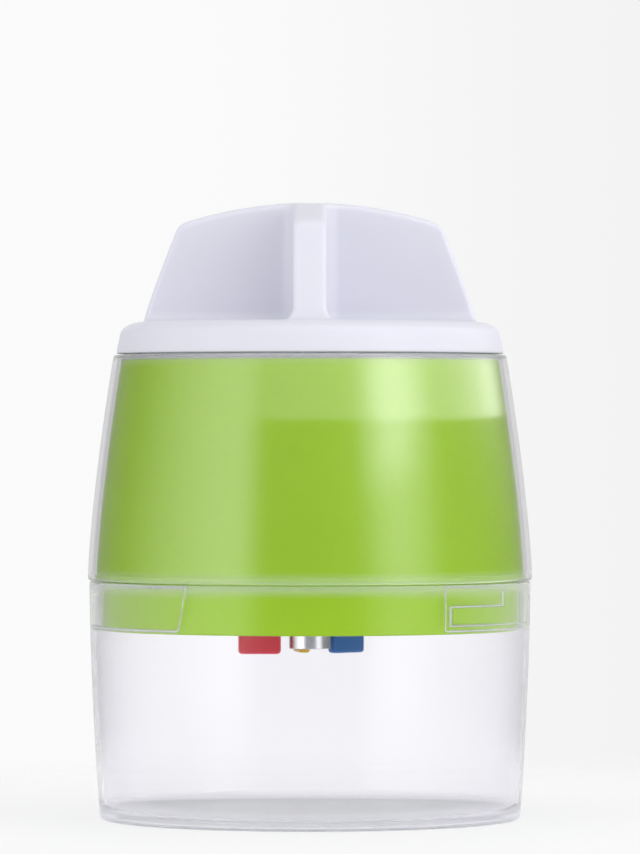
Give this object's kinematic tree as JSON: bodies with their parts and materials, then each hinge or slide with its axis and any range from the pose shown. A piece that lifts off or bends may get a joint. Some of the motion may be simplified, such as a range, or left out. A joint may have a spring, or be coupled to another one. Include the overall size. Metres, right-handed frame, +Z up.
{
  "type": "spiralizer",
  "caption": "Hand-twisted vegetable spiralizer: clear container, twist-lock cutter body with push-up combs, and a pronged holder with a cross-shaped grip.",
  "frame": {"origin": "centre of the container's flat underside, on the tool's upright axis", "axes": "+Z up along the axis that everything turns about, -Y the side that faces the viewer, +X to the viewer's right"},
  "size_m": [0.1066, 0.1066, 0.1477],
  "materials": {
    "clear_container": "clear polished",
    "clear_shell": "clear polished",
    "green_plastic": "gloss",
    "plate_plastic": "gloss",
    "pale_plastic": "satin",
    "white_plastic": "satin",
    "red_plastic": "gloss",
    "yellow_plastic": "gloss",
    "blue_plastic": "gloss",
    "blade_steel": "ground",
    "pin_steel": "polished",
    "screw_steel": "plain"
  },
  "bodies": {
    "container": {"container": "clear_container"},
    "cutter": {"outer_shell": "clear_shell", "cutter_cup": "green_plastic", "blade_plate": "plate_plastic", "plate_screw_1": "screw_steel", "plate_screw_2": "screw_steel", "plate_screw_3": "screw_steel", "plate_screw_4": "screw_steel", "flat_blade": "blade_steel", "blade_rivet_1": "screw_steel", "blade_rivet_2": "screw_steel", "coring_tube": "blade_steel", "comb_guide": "pale_plastic", "guide_screw_1": "screw_steel", "guide_screw_2": "screw_steel", "guide_screw_3": "screw_steel"},
    "red_comb": {"red_comb_slide": "red_plastic", "red_comb_teeth": "blade_steel"},
    "yellow_comb": {"yellow_comb_slide": "yellow_plastic", "yellow_comb_teeth": "blade_steel"},
    "blue_comb": {"blue_comb_slide": "blue_plastic", "blue_comb_teeth": "blade_steel"},
    "spindle": {"center_spike": "pin_steel"},
    "holder": {"holder_grip": "white_plastic", "prong_plate": "pale_plastic", "holder_screw_1": "screw_steel", "holder_screw_2": "screw_steel", "holder_screw_3": "screw_steel", "holder_screw_4": "screw_steel", "prong_1": "pin_steel", "prong_2": "pin_steel", "prong_3": "pin_steel", "prong_4": "pin_steel", "prong_5": "pin_steel", "prong_6": "pin_steel", "prong_7": "pin_steel", "prong_8": "pin_steel"}
  },
  "joints": [
    {"name": "cutter_unlock", "type": "hinge", "parent": "container", "child": "cutter", "pos_m": [0, 0, 0.0573], "axis": [0, 0, 1], "range_deg": [0, 22]},
    {"name": "red_comb_lift", "type": "slide", "parent": "cutter", "child": "red_comb", "axis": [0, 0, 1], "range_m": [0, 0.0033]},
    {"name": "yellow_comb_lift", "type": "slide", "parent": "cutter", "child": "yellow_comb", "axis": [0, 0, 1], "range_m": [0, 0.0033]},
    {"name": "blue_comb_lift", "type": "slide", "parent": "cutter", "child": "blue_comb", "axis": [0, 0, 1], "range_m": [0, 0.0033]},
    {"name": "holder_lift", "type": "slide", "parent": "cutter", "child": "spindle", "axis": [0, 0, 1], "range_m": [0, 0.0453]},
    {"name": "holder_turn", "type": "hinge", "parent": "spindle", "child": "holder", "pos_m": [0, 0, 0.1115], "axis": [0, 0, 1], "continuous": true}
  ]
}
